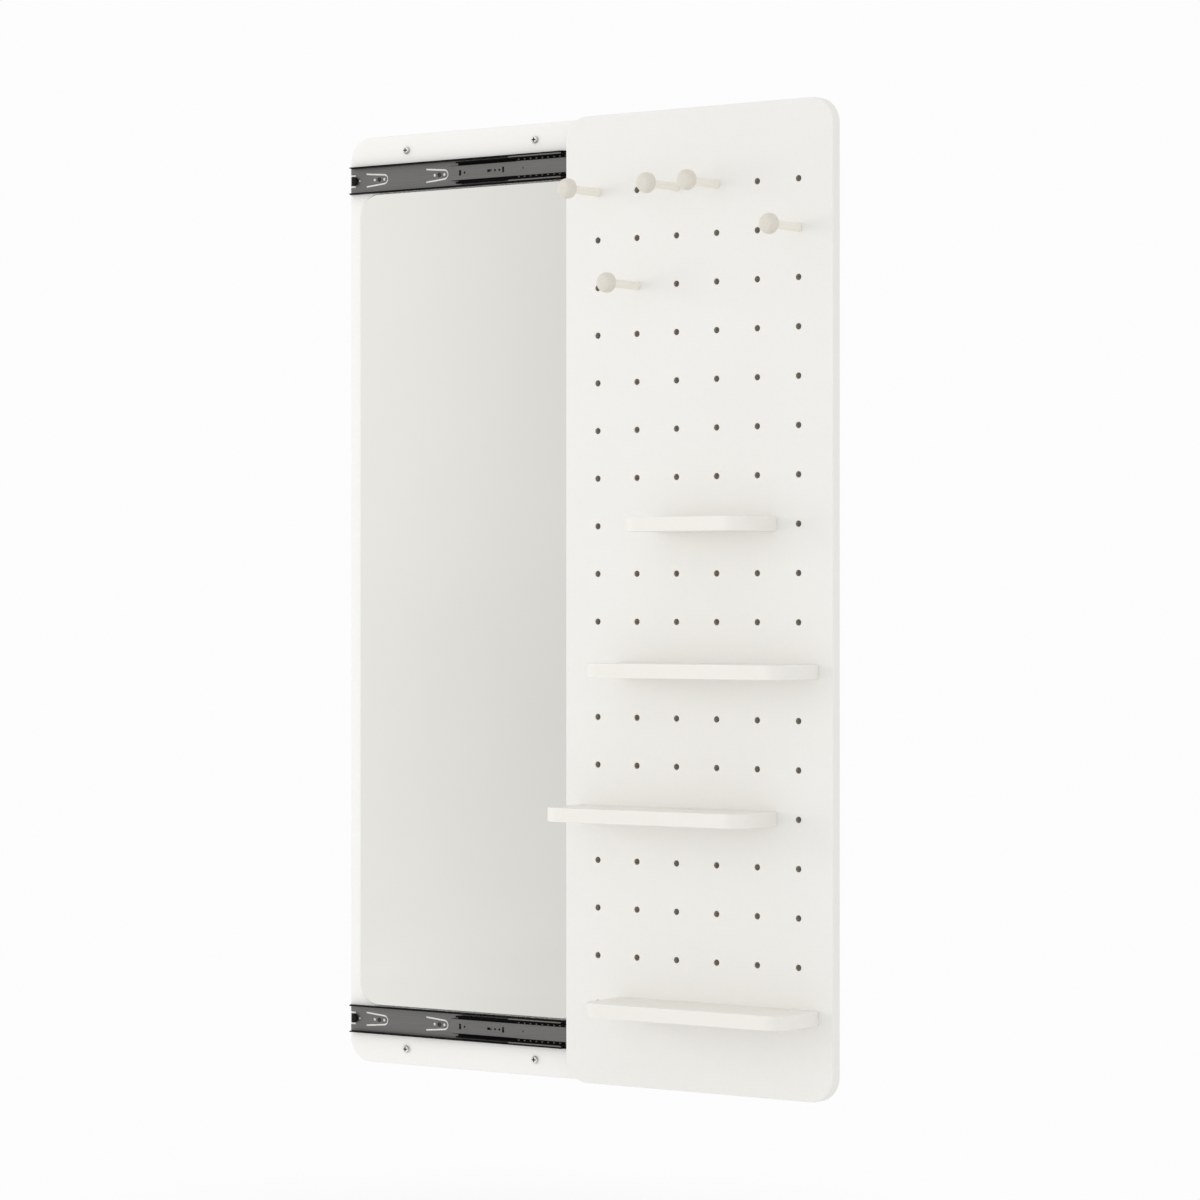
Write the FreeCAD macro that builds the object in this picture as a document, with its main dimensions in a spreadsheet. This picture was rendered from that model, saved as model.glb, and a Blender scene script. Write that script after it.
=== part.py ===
import FreeCAD, Part
import os
import re
import Sketcher
from FreeCAD import Vector

# Wall mirror with a pegboard panel that slides sideways over it, in millimetres, with the panel slid open.
# X runs right, Z runs up and the front faces -Y. The origin is the centre of the back board's rear face.

DIMS = {
    # Back board and panel
    "board_width": 500,
    "board_height": 1525,
    "board_thickness": 18,
    "panel_thickness": 18,
    "corner_radius": 40,
    "edge_round": 2,
    "least_flat": 0.1,
    "slide_gap": 12.7,
    "slide_travel": 464,
    # Mirror and the tape behind it
    "mirror_side_margin": 25,
    "mirror_slide_gap": 2,
    "mirror_thickness": 4,
    "mirror_corner": 38,
    "tape_thickness": 1,
    "tape_width": 25,
    "tape_end_margin": 46,
    # Screws into the wall
    "wall_screw_side_margin": 119,
    "wall_screw_edge_margin": 26,
    "wall_thread_radius": 2.25,
    "wall_neck_radius": 2.5,
    "wall_hole_clearance": 0.3,
    "wall_thread_length": 32,
    "wall_head_radius": 6.2,
    "wall_head_height": 5,
    "wall_recess_length": 6.4,
    "wall_recess_width": 1.5,
    "wall_recess_depth": 2.2,
    # Peg holes
    "hole_radius": 5,
    "hole_side_margin": 62.5,
    "hole_top_margin": 122,
    "hole_bottom_margin": 128,
    "hole_columns": 6,
    "hole_rows": 18,
    # Pegs and what plugs into a hole
    "plug_clearance": 0.05,
    "plug_length": 17.5,
    "seat_gap": 0.3,
    "peg_shank_radius": 6.5,
    "peg_shank_length": 76,
    "peg_head_radius": 15.7,
    "peg_head_length": 17,
    "peg_front_round": 10,
    "peg_rear_round": 3,
    # Shelves
    "shelf_depth": 105,
    "shelf_thickness": 22,
    "shelf_overhang": 36,
    "shelf_corner": 30,
    "shelf_round": 1,
    "dowel_depth": 30,
    "dowel_end_gap": 0.5,
    # Slide members, from the back board forwards
    "slide_edge_distance": 70.3,
    "slide_inset": 2.6,
    "slide_end_margin": 55,
    "sheet_thickness": 1.2,
    "bend_radius": 1,
    "cage_thickness": 0.7,
    "layer_gap": 0.4,
    "running_gap": 0.3,
    "panel_gap": 0.6,
    "outer_height": 45,
    "outer_depth": 11.4,
    "outer_lip": 2.1,
    "outer_end_slant": 4.4,
    "middle_share": 0.424,
    "middle_lip": 2.6,
    "tongue_length": 15,
    "tongue_half_height": 12,
    "member_end_gap": 5.4,
    # Bumper at the closed end of each slide
    "bumper_inset": 5.5,
    "bumper_length": 9,
    "bumper_height": 14.4,
    "bumper_depth": 5,
    "bumper_round": 6.8,
    "bumper_gap": 0.6,
    "notch_length": 10,
    "notch_height": 2.8,
    "notch_gap": 0.56,
    # Balls and cages
    "pocket_clearance": 0.15,
    "outer_ball_radius": 1.5,
    "outer_ball_pitch": 11,
    "outer_ball_count": 9,
    "outer_ball_start": 8,
    "outer_cage_offset": 218.9,
    "outer_cage_length": 104,
    "outer_cage_depth": 7.6,
    "outer_cage_lip": 1.9,
    "inner_ball_radius": 1.8,
    "inner_ball_count": 24,
    "inner_ball_start": 7,
    "inner_cage_end_gap": 5.5,
    "inner_cage_depth": 3.5,
    "gauge_place": 13.4,
    "gauge_radius": 1.3,
    # Screws in the slides, and the slits and holes in their webs
    "screw_pitch": 125.2,
    "screw_first": 62.4,
    "screw_count": 3,
    "screw_neck_radius": 2,
    "screw_thread_radius": 1.9,
    "screw_clearance": 0.1,
    "screw_thread_length": 12,
    "screw_tip": 3,
    "screw_head_radius": 3.6,
    "screw_head_height": 1.6,
    "screw_recess_length": 3.4,
    "screw_recess_width": 0.8,
    "screw_recess_depth": 0.9,
    "slit_width": 2.8,
    "slit_length": 38,
    "slit_spread": 10.5,
    "slit_apex": 7.3,
    "slit_behind_screw": 28.5,
    "slit_window_width": 5,
    "slit_window_height": 4.4,
    "slit_window_place": 17.9,
    "slit_hole_radius": 2.6,
    "end_hole_place": 17.9,
    "web_hole_radius": 1.9,
    "web_slot_width": 4.2,
    "web_slot_length": 9,
    "web_slot_near": 18.9,
    "web_slot_far": 106.2,
    "web_slot_across": 78.6,
    "web_hole_near": 28,
    "web_hole_mid": 89.9,
    "web_hole_far": 98.6,
}

doc = FreeCAD.newDocument("wall_mirror")
sheet = doc.addObject("Spreadsheet::Sheet", "dims")
for row, (name, number) in enumerate(DIMS.items(), start=1):
    sheet.set(f"A{row}", name)
    sheet.set(f"B{row}", str(number))
    sheet.setAlias(f"B{row}", name)
doc.recompute()

bodies = []


# Helpers that bind sizes to the sheet

def formula(text):
    """Point every dimension named in a formula at its cell."""
    return re.sub(r"[a-z]+(_[a-z]+)+", lambda found: "dims." + found.group(), str(text))


def bind(thing, prop, text):
    thing.setExpression(prop, formula(text))


# Helpers that draw

def new_body(label):
    body = doc.addObject("PartDesign::Body", label)
    bodies.append(body)
    return body


def origin(body, role):
    return [datum for datum in body.Origin.OriginFeatures if datum.Role == role][0]


def drawing(body, name, plane, across="0", up="0", lift="0"):
    """Start a sketch on one of the body's own planes, moved along it and away from it."""
    sketch = body.newObject("Sketcher::SketchObject", f"{body.Name}_{name}")
    sketch.AttachmentSupport = (origin(body, plane), [""])
    sketch.MapMode = "FlatFace"
    bind(sketch, "AttachmentOffset.Base.x", across)
    bind(sketch, "AttachmentOffset.Base.y", up)
    bind(sketch, "AttachmentOffset.Base.z", lift)
    return sketch


def pin(sketch, edge, end, spot, across, up):
    """Fix one point of a sketch at two formulas."""
    for kind, start, text in (("DistanceX", spot.x, across), ("DistanceY", spot.y, up)):
        index = sketch.addConstraint(Sketcher.Constraint(kind, -1, 1, edge, end, start))
        bind(sketch, f"Constraints[{index}]", text)


def polygon(sketch, corners):
    """Draw a closed outline through corners that are pairs of formulas."""
    first = sketch.GeometryCount
    count = len(corners)
    spots = [Vector(20, 0, 0)]
    turn = FreeCAD.Rotation(Vector(0, 0, 1), 360 / count)
    while len(spots) < count:
        spots.append(turn.multVec(spots[-1]))
    for i in range(count):
        sketch.addGeometry(Part.LineSegment(spots[i], spots[(i + 1) % count]), False)
    for i in range(count):
        sketch.addConstraint(Sketcher.Constraint("Coincident", first + i, 2, first + (i + 1) % count, 1))
    for i, (across, up) in enumerate(corners):
        pin(sketch, first + i, 1, spots[i], across, up)


def rectangle(sketch, left, right, low, high):
    polygon(sketch, [(left, low), (right, low), (right, high), (left, high)])


def circle(sketch, across, up, radius):
    spot = Vector(10, 10, 0)
    index = sketch.addGeometry(Part.Circle(spot, Vector(0, 0, 1), 2), False)
    pin(sketch, index, 3, spot, across, up)
    size = sketch.addConstraint(Sketcher.Constraint("Radius", index, 2.0))
    bind(sketch, f"Constraints[{size}]", radius)


def half_ring(sketch, across, radius, width):
    """Draw the right half of a flat ring on the sketch's middle line."""
    spot = Vector(10, 0, 0)
    for size in (5, 3):
        ring = Part.Circle(spot, Vector(0, 0, 1), size)
        sketch.addGeometry(Part.ArcOfCircle(ring, -1.5708, 1.5708), False)
    sketch.addGeometry(Part.LineSegment(Vector(10, -5, 0), Vector(10, -3, 0)), False)
    sketch.addGeometry(Part.LineSegment(Vector(10, 3, 0), Vector(10, 5, 0)), False)
    joins = [(0, 3, 1, 3), (2, 1, 0, 1), (2, 2, 1, 1), (3, 1, 1, 2), (3, 2, 0, 2)]
    for join in joins:
        sketch.addConstraint(Sketcher.Constraint("Coincident", *join))
    sketch.addConstraint(Sketcher.Constraint("Vertical", 0, 3, 0, 1))
    sketch.addConstraint(Sketcher.Constraint("Vertical", 0, 3, 0, 2))
    sketch.addConstraint(Sketcher.Constraint("Vertical", 2))
    sketch.addConstraint(Sketcher.Constraint("Vertical", 3))
    pin(sketch, 0, 3, spot, across, "0")
    for arc, text in ((0, f"{radius} + {width} / 2"), (1, f"{radius} - {width} / 2")):
        index = sketch.addConstraint(Sketcher.Constraint("Radius", arc, 5.0 - 2 * arc))
        bind(sketch, f"Constraints[{index}]", text)


def cross(sketch, length, width):
    """Draw a plus sign for a screw's drive recess."""
    a, b = f"{length} / 2", f"{width} / 2"
    polygon(sketch, [
        (a, f"-{b}"), (a, b), (b, b), (b, a), (f"-{b}", a), (f"-{b}", b),
        (f"-{a}", b), (f"-{a}", f"-{b}"), (f"-{b}", f"-{b}"), (f"-{b}", f"-{a}"), (b, f"-{a}"), (b, f"-{b}"),
    ])


# Helpers that make solids

def feature(body, kind, name, sketch=None):
    made = body.newObject(f"PartDesign::{kind}", f"{body.Name}_{name}")
    if sketch:
        made.Profile = sketch
    return made


def pad(body, name, sketch, length):
    made = feature(body, "Pad", name, sketch)
    bind(made, "Length", length)
    return made


def pocket(body, name, sketch, depth=None, backwards=False):
    """Cut a sketch to a depth, or right through."""
    made = feature(body, "Pocket", name, sketch)
    made.Reversed = backwards
    if depth is None:
        made.Type = "ThroughAll"
    else:
        bind(made, "Length", depth)
    return made


def revolve(body, name, sketch):
    made = feature(body, "Revolution", name, sketch)
    made.ReferenceAxis = (sketch, ["V_Axis"])
    made.Angle = 360
    return made


def repeat(body, name, originals, axis, pitch, count, second=None):
    """Repeat features along one axis, and along a second one if it is given."""
    made = feature(body, "LinearPattern", name)
    made.Originals = originals
    made.Direction = (origin(body, axis), [""])
    bind(made, "Length", f"{pitch} * ({count} - 1)")
    bind(made, "Occurrences", count)
    if second:
        axis, pitch, count = second
        made.Direction2 = (origin(body, axis), [""])
        bind(made, "Length2", f"{pitch} * ({count} - 1)")
        bind(made, "Occurrences2", count)
    body.Tip = made
    return made


def fillet(body, name, base, chosen, radius):
    """Round the edges of a feature that a test picks out."""
    doc.recompute()
    made = feature(body, "Fillet", name)
    names = [f"Edge{i}" for i, edge in enumerate(base.Shape.Edges, start=1) if chosen(edge)]
    made.Base = (base, names)
    bind(made, "Radius", radius)
    return made


def runs_along(edge, axis):
    if edge.Curve.TypeId != "Part::GeomLine":
        return False
    return abs(getattr(edge.tangentAt(edge.FirstParameter), axis)) > 0.99


def on_front(base):
    doc.recompute()
    front = base.Shape.BoundBox.YMin
    return lambda edge: edge.BoundBox.YMax < front + 0.01


# Places that several pieces share

BOARD_LEFT = "-board_width / 2"
PANEL_LEFT = "slide_travel - board_width / 2"
PANEL_REAR = "(board_thickness + slide_gap)"
PANEL_FRONT = "(board_thickness + slide_gap + panel_thickness)"
SLIDE_UP = "(board_height / 2 - slide_edge_distance)"
SIDES = (("top", SLIDE_UP), ("bottom", f"-{SLIDE_UP}"))
FIRST_SCREW = f"{BOARD_LEFT} + screw_first"
WALL_SCREWS_ACROSS = "(board_width - 2 * wall_screw_side_margin)"
WALL_SCREWS_UP = "(board_height - 2 * wall_screw_edge_margin)"
MIRROR_WIDTH = "(board_width - 2 * mirror_side_margin)"
MIRROR_HEIGHT = "(board_height - 2 * slide_edge_distance - outer_height - 2 * mirror_slide_gap)"
TAPE_HALF = f"({MIRROR_HEIGHT} / 2 - tape_end_margin)"
TAPE_PITCH = f"({MIRROR_WIDTH} / 3)"
HOLE_PITCH_ACROSS = "((board_width - 2 * hole_side_margin) / (hole_columns - 1))"
HOLE_PITCH_UP = "((board_height - hole_top_margin - hole_bottom_margin) / (hole_rows - 1))"


def hole_across(column):
    return f"{PANEL_LEFT} + hole_side_margin + {HOLE_PITCH_ACROSS} * {column}"


def hole_up(row):
    return f"board_height / 2 - hole_top_margin - {HOLE_PITCH_UP} * {row}"


# Layers of a slide, as distances in front of the back board

OUTER_CAGE = "(sheet_thickness + screw_head_height + layer_gap)"
MIDDLE = f"({OUTER_CAGE} + cage_thickness + layer_gap)"
INNER_CAGE = f"({MIDDLE} + sheet_thickness + layer_gap)"
INNER = f"({INNER_CAGE} + cage_thickness + layer_gap)"
MIDDLE_FRONT = "(slide_gap - panel_gap)"
OUTER_BALL = "(outer_depth - sheet_thickness - layer_gap - outer_ball_radius)"
INNER_BALL = f"({MIDDLE_FRONT} - sheet_thickness - layer_gap - inner_ball_radius)"

# Half heights of the slide's parts, from the outside in

OUTER_HALF = "outer_height / 2"
OUTER_BALL_UP = "(outer_height / 2 - sheet_thickness - running_gap - outer_ball_radius)"
MIDDLE_HALF = f"({OUTER_BALL_UP} - outer_ball_radius - running_gap)"
INNER_BALL_UP = f"({MIDDLE_HALF} - sheet_thickness - running_gap - inner_ball_radius)"
INNER_HALF = f"({INNER_BALL_UP} - inner_ball_radius - running_gap)"

# Lengths of the slide's parts

OUTER_LEFT = f"({BOARD_LEFT} + slide_inset)"
OUTER_LENGTH = "(board_width - slide_inset - slide_end_margin)"
BUMPER_END = "(bumper_inset + bumper_length)"
MOVING_LENGTH = f"({OUTER_LENGTH} - {BUMPER_END} - bumper_gap - member_end_gap)"
INNER_CAGE_LENGTH = f"({MOVING_LENGTH} - slide_travel * (1 - middle_share) / 2 - inner_cage_end_gap)"
INNER_BALL_PITCH = f"(({INNER_CAGE_LENGTH} - 2 * inner_ball_start) / (inner_ball_count - 1))"

# Left ends of the slide's parts with the panel slid open

CLOSED_LEFT = f"{BOARD_LEFT} + slide_inset + {BUMPER_END} + bumper_gap"
MIDDLE_LEFT = f"({CLOSED_LEFT} + slide_travel * middle_share)"
OUTER_CAGE_LEFT = f"({CLOSED_LEFT} + outer_cage_offset + slide_travel * middle_share / 2)"
INNER_CAGE_LEFT = f"({CLOSED_LEFT} + slide_travel * (1 + middle_share) / 2)"
INNER_LEFT = f"({CLOSED_LEFT} + slide_travel)"


# Boards and mirror

def rounded_board(label, width, height, depth, radius, across="0", lift="0"):
    """Make an upright board with round corners, its rear face a given way in front of the wall."""
    body = new_body(label)
    sketch = drawing(body, "outline", "XZ_Plane", across=across, lift=lift)
    rectangle(sketch, f"-{width} / 2", f"{width} / 2", f"-{height} / 2", f"{height} / 2")
    slab = pad(body, "slab", sketch, depth)
    corners = fillet(body, "corners", slab, lambda edge: runs_along(edge, "y"), radius)
    return body, corners


def screw_holes(body, radius, first, lift, depth, backwards):
    """Drill the holes for both slides' screws."""
    sketch = drawing(body, "pilot", "XZ_Plane", across=first, up=f"-{SLIDE_UP}", lift=lift)
    circle(sketch, "0", "0", radius)
    hole = pocket(body, "pilot_hole", sketch, depth, backwards)
    repeat(body, "pilot_holes", [hole], "X_Axis", "screw_pitch", "screw_count",
           second=("Z_Axis", f"2 * {SLIDE_UP}", "2"))


back_board, shaped = rounded_board("back_board", "board_width", "board_height", "board_thickness",
                                   "corner_radius")
fillet(back_board, "round", shaped, on_front(shaped), "edge_round")
sketch = drawing(back_board, "wall_hole", "XZ_Plane", across=f"-{WALL_SCREWS_ACROSS} / 2",
                 up=f"-{WALL_SCREWS_UP} / 2", lift="board_thickness")
circle(sketch, "0", "0", "wall_neck_radius + wall_hole_clearance")
hole = pocket(back_board, "wall_hole_cut", sketch)
repeat(back_board, "wall_holes", [hole], "X_Axis", WALL_SCREWS_ACROSS, "2",
       second=("Z_Axis", WALL_SCREWS_UP, "2"))
screw_holes(back_board, "screw_thread_radius + screw_clearance", FIRST_SCREW, "board_thickness",
            "screw_thread_length + screw_clearance", False)

rounded_board("mirror_glass", MIRROR_WIDTH, MIRROR_HEIGHT, "mirror_thickness", "mirror_corner",
              lift="board_thickness + tape_thickness")

tape = new_body("mirror_tape")
sketch = drawing(tape, "strip", "XZ_Plane", lift="board_thickness")
for place in (f"-{TAPE_PITCH}", "0", TAPE_PITCH):
    rectangle(sketch, f"{place} - tape_width / 2", f"{place} + tape_width / 2", f"-{TAPE_HALF}", TAPE_HALF)
pad(tape, "strips", sketch, "tape_thickness")

panel, shaped = rounded_board("pegboard_panel", "board_width", "board_height", "panel_thickness",
                              "corner_radius", across="slide_travel", lift=PANEL_REAR)
shaped = fillet(panel, "round", shaped, on_front(shaped), "edge_round")
sketch = drawing(panel, "peg_hole", "XZ_Plane", lift=PANEL_FRONT)
circle(sketch, hole_across(0), hole_up("(hole_rows - 1)"), "hole_radius")
hole = pocket(panel, "peg_hole_cut", sketch)
repeat(panel, "peg_holes", [hole], "X_Axis", HOLE_PITCH_ACROSS, "hole_columns",
       second=("Z_Axis", HOLE_PITCH_UP, "hole_rows"))
screw_holes(panel, "screw_thread_radius + screw_clearance", f"{FIRST_SCREW} + slide_travel", PANEL_REAR,
            "screw_thread_length + screw_clearance", True)


# Screws

def screws(label, first, seat, low, outward, size, pitch, count, rise):
    """Make a rectangle of pan head screws whose heads sit on a plane in front of the wall."""
    body = new_body(label)
    ahead = f"-({seat}) - {size['head_height']} * {outward}"
    shoulder = f"-({seat}) - {size['head_height']} * {outward} * 0.4"
    under = f"-({seat})"
    neck_end = f"-({seat}) + {size['neck_length']} * {outward}"
    end = f"-({seat}) + ({size['neck_length']} + {size['thread_length']}) * {outward}"
    taper = f"{end} - screw_tip * {outward}"
    sketch = drawing(body, "profile", "XY_Plane", across=first, lift=low)
    polygon(sketch, [
        ("0", ahead), (f"{size['head']} * 0.6", ahead), (size["head"], shoulder), (size["head"], under),
        (size["neck"], under), (size["neck"], neck_end), (size["thread"], neck_end), (size["thread"], taper),
        (f"{size['thread']} * 0.3", end), ("0", end),
    ])
    turned = revolve(body, "turned", sketch)
    top = f"({seat}) + {size['head_height']} * {outward}"
    sketch = drawing(body, "recess", "XZ_Plane", across=first, up=low, lift=top)
    cross(sketch, size["recess_length"], size["recess_width"])
    drive = pocket(body, "drive", sketch, size["recess_depth"], backwards=outward < 0)
    repeat(body, "set", [turned, drive], "X_Axis", pitch, count, ("Z_Axis", rise, "2"))


SLIDE_SCREW = {
    "head": "screw_head_radius",
    "head_height": "screw_head_height",
    "neck": "screw_neck_radius",
    "neck_length": "sheet_thickness",
    "thread": "screw_thread_radius",
    "thread_length": "screw_thread_length",
    "recess_length": "screw_recess_length",
    "recess_width": "screw_recess_width",
    "recess_depth": "screw_recess_depth",
}
WALL_SCREW = {
    "head": "wall_head_radius",
    "head_height": "wall_head_height",
    "neck": "wall_neck_radius",
    "neck_length": "board_thickness",
    "thread": "wall_thread_radius",
    "thread_length": "wall_thread_length",
    "recess_length": "wall_recess_length",
    "recess_width": "wall_recess_width",
    "recess_depth": "wall_recess_depth",
}

SLIDE_SCREW_GRID = ("screw_pitch", "screw_count", f"2 * {SLIDE_UP}")
WALL_SCREW_GRID = (WALL_SCREWS_ACROSS, "2", WALL_SCREWS_UP)

screws("wall_screws", f"-{WALL_SCREWS_ACROSS} / 2", "board_thickness", f"-{WALL_SCREWS_UP} / 2", 1,
       WALL_SCREW, *WALL_SCREW_GRID)
screws("outer_member_screws", FIRST_SCREW, "board_thickness + sheet_thickness", f"-{SLIDE_UP}", 1,
       SLIDE_SCREW, *SLIDE_SCREW_GRID)
screws("inner_member_screws", f"{FIRST_SCREW} + slide_travel", f"{PANEL_REAR} - sheet_thickness",
       f"-{SLIDE_UP}", -1, SLIDE_SCREW, *SLIDE_SCREW_GRID)


# Slides

def channel(web, edge, half, step, lip=None):
    """Outline of a bent sheet channel: a web, two flanges and, if asked for, lips at their free edges."""
    def corner(distance, up):
        return f"-(board_thickness + {distance})", up

    thin = f"({web} + {step})"
    inside = f"({half} - {step.lstrip('-')})"
    upper = [corner(edge, inside), corner(edge, half)]
    if lip:
        lip_rear = f"({edge} - {step})"
        tip = f"({half} - {lip})"
        upper = [corner(lip_rear, inside), corner(lip_rear, tip), corner(edge, tip), corner(edge, half)]
    lower = [(across, f"-{up}") for across, up in reversed(upper)]
    return ([corner(web, f"-{half}")] + lower + [corner(thin, f"-{inside}"), corner(thin, inside)]
            + upper + [corner(web, half)])


def bar(label, up, left, length, outline):
    """Run a channel outline along X at one slide's height."""
    body = new_body(label)
    sketch = drawing(body, "section", "YZ_Plane", up=up, lift=left)
    polygon(sketch, outline)
    return body, pad(body, "run", sketch, length)


def web_cut(body, name, up, left, distance, draw):
    """Cut shapes, drawn from the left end on, through the web behind a given distance."""
    sketch = drawing(body, name, "XZ_Plane", across=left, up=up, lift=f"board_thickness + {distance}")
    draw(sketch)
    return pocket(body, f"{name}_cut", sketch)


def slot(sketch, across, wide, high, up="0"):
    rectangle(sketch, f"{across} - ({wide}) / 2", f"{across} + ({wide}) / 2",
              f"{up} - ({high}) / 2", f"{up} + ({high}) / 2")


def draw_slit_legs(sketch):
    for side in ("", "-"):
        polygon(sketch, [
            ("0", f"{side}(slit_spread + slit_width / 2)"),
            ("0", f"{side}(slit_spread - slit_width / 2)"),
            ("slit_length", f"{side}(slit_apex - slit_width / 2)"),
            ("slit_length", f"{side}(slit_apex + slit_width / 2)"),
        ])


def draw_slit_holes(sketch):
    slot(sketch, "slit_window_place", "slit_window_width", "slit_window_height")
    circle(sketch, "slit_length", "0", "slit_hole_radius")


def draw_outer_end(sketch):
    for side in ("", "-"):
        middle = f"{side}(bumper_height / 2 + notch_gap + notch_height / 2)"
        slot(sketch, "0", "2 * notch_length", "notch_height", middle)
    circle(sketch, "end_hole_place", "0", "web_hole_radius")


def draw_tongue(sketch):
    for side in ("", "-"):
        rectangle(sketch, "-1", "tongue_length", f"{side}tongue_half_height", f"{side}({MIDDLE_HALF} + 1)")


def draw_middle_holes(sketch):
    for place in ("web_slot_near", "web_slot_far"):
        slot(sketch, place, "web_slot_width", "web_slot_length")
    slot(sketch, "web_slot_across", "web_slot_length", "web_slot_width")
    for place in ("web_hole_near", "web_hole_mid", "web_hole_far"):
        circle(sketch, place, "0", "web_hole_radius")
    circle(sketch, f"{INNER_CAGE_LEFT} - {MIDDLE_LEFT} + gauge_place", "0", "gauge_radius")


def draw_slanted_ends(sketch):
    """Draw what comes off the flanges of an outer member, seen from above, to slant both their ends."""
    web_front = "-(board_thickness + sheet_thickness)"
    lip_front = "-(board_thickness + outer_depth)"
    for end, inward in ((OUTER_LEFT, "+"), (f"{OUTER_LEFT} + {OUTER_LENGTH}", "-")):
        outward = "-" if inward == "+" else "+"
        slanted = f"{end} {inward} outer_end_slant"
        beyond = f"{end} {outward} 1"
        polygon(sketch, [
            (end, web_front), (slanted, lip_front), (slanted, f"{lip_front} - 1"),
            (beyond, f"{lip_front} - 1"), (beyond, web_front),
        ])


def outside_corner(run):
    """Pick the long edges at the outside of a channel."""
    doc.recompute()
    box = run.Shape.BoundBox

    def chosen(edge):
        where = edge.BoundBox
        at_side = where.ZMin > box.ZMax - 0.01 or where.ZMax < box.ZMin + 0.01
        return runs_along(edge, "x") and at_side

    return chosen


def outside_corner_front(run):
    """Pick only the long outside edges where a channel's web meets its flanges in front."""
    chosen = outside_corner(run)
    front = on_front(run)
    return lambda edge: chosen(edge) and front(edge)


def outer_member(label, up):
    outline = channel("0", "outer_depth", OUTER_HALF, "sheet_thickness", "outer_lip")
    body, run = bar(label, up, OUTER_LEFT, OUTER_LENGTH, outline)
    fillet(body, "bends", run, outside_corner(run), "bend_radius")
    sketch = drawing(body, "slants", "XY_Plane", lift=f"{up} + outer_height")
    draw_slanted_ends(sketch)
    pocket(body, "slants_cut", sketch)
    slit_left = f"{FIRST_SCREW} - slit_behind_screw"
    web_cut(body, "end", up, OUTER_LEFT, "sheet_thickness", draw_outer_end)
    cuts = [
        web_cut(body, "legs", up, slit_left, "sheet_thickness", draw_slit_legs),
        web_cut(body, "apex", up, slit_left, "sheet_thickness",
                lambda sketch: half_ring(sketch, "slit_length", "slit_apex", "slit_width")),
        web_cut(body, "holes", up, slit_left, "sheet_thickness", draw_slit_holes),
    ]
    repeat(body, "slits", cuts, "X_Axis", "screw_pitch", "2")
    hole = web_cut(body, "screw", up, FIRST_SCREW, "sheet_thickness",
                   lambda sketch: circle(sketch, "0", "0", "screw_neck_radius + screw_clearance"))
    repeat(body, "screw_row", [hole], "X_Axis", "screw_pitch", "screw_count")


def middle_member(label, up):
    outline = channel(MIDDLE, MIDDLE_FRONT, MIDDLE_HALF, "sheet_thickness", "middle_lip")
    body, run = bar(label, up, MIDDLE_LEFT, MOVING_LENGTH, outline)
    fillet(body, "bends", run, outside_corner(run), "bend_radius")
    web_cut(body, "tongue", up, MIDDLE_LEFT, "slide_gap", draw_tongue)
    web_cut(body, "holes", up, MIDDLE_LEFT, f"{MIDDLE} + sheet_thickness", draw_middle_holes)


def inner_member(label, up):
    outline = channel("slide_gap", INNER, INNER_HALF, "-sheet_thickness")
    body, run = bar(label, up, INNER_LEFT, MOVING_LENGTH, outline)
    fillet(body, "bends", run, outside_corner_front(run), "bend_radius")
    hole = web_cut(body, "screw", up, f"{FIRST_SCREW} + slide_travel", "slide_gap",
                   lambda sketch: circle(sketch, "0", "0", "screw_neck_radius + screw_clearance"))
    repeat(body, "screw_row", [hole], "X_Axis", "screw_pitch", "screw_count")


def cage(label, up, left, length, web, depth, lip, ball_up, ball_out, ball, pitch, count, start):
    """Bend a strip around two rows of balls, with lips if asked for, and cut a pocket for each ball."""
    outline = channel(web, f"({web} + {depth})", f"({ball_up} + cage_thickness / 2)", "cage_thickness", lip)
    body, run = bar(label, up, left, length, outline)
    sketch = drawing(body, "pocket", "XY_Plane", lift=f"{up} + outer_height")
    circle(sketch, f"{left} + {start}", f"-(board_thickness + {ball_out})", f"{ball} + pocket_clearance")
    hole = pocket(body, "pocket_cut", sketch)
    repeat(body, "pockets", [hole], "X_Axis", pitch, count)
    return body


def balls(label, up, left, ball_up, ball_out, ball, pitch, count, start):
    body = new_body(label)
    made = feature(body, "AdditiveSphere", "ball")
    made.AttachmentSupport = (origin(body, "XY_Plane"), [""])
    made.MapMode = "FlatFace"
    bind(made, "Radius", ball)
    bind(made, "AttachmentOffset.Base.x", f"{left} + {start}")
    bind(made, "AttachmentOffset.Base.y", f"-(board_thickness + {ball_out})")
    bind(made, "AttachmentOffset.Base.z", f"{up} - {ball_up}")
    repeat(body, "rows", [made], "X_Axis", pitch, count, ("Z_Axis", f"2 * {ball_up}", "2"))


OUTER_ROW = (OUTER_BALL_UP, OUTER_BALL, "outer_ball_radius",
             "outer_ball_pitch", "outer_ball_count", "outer_ball_start")
INNER_ROW = (INNER_BALL_UP, INNER_BALL, "inner_ball_radius",
             INNER_BALL_PITCH, "inner_ball_count", "inner_ball_start")

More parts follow.
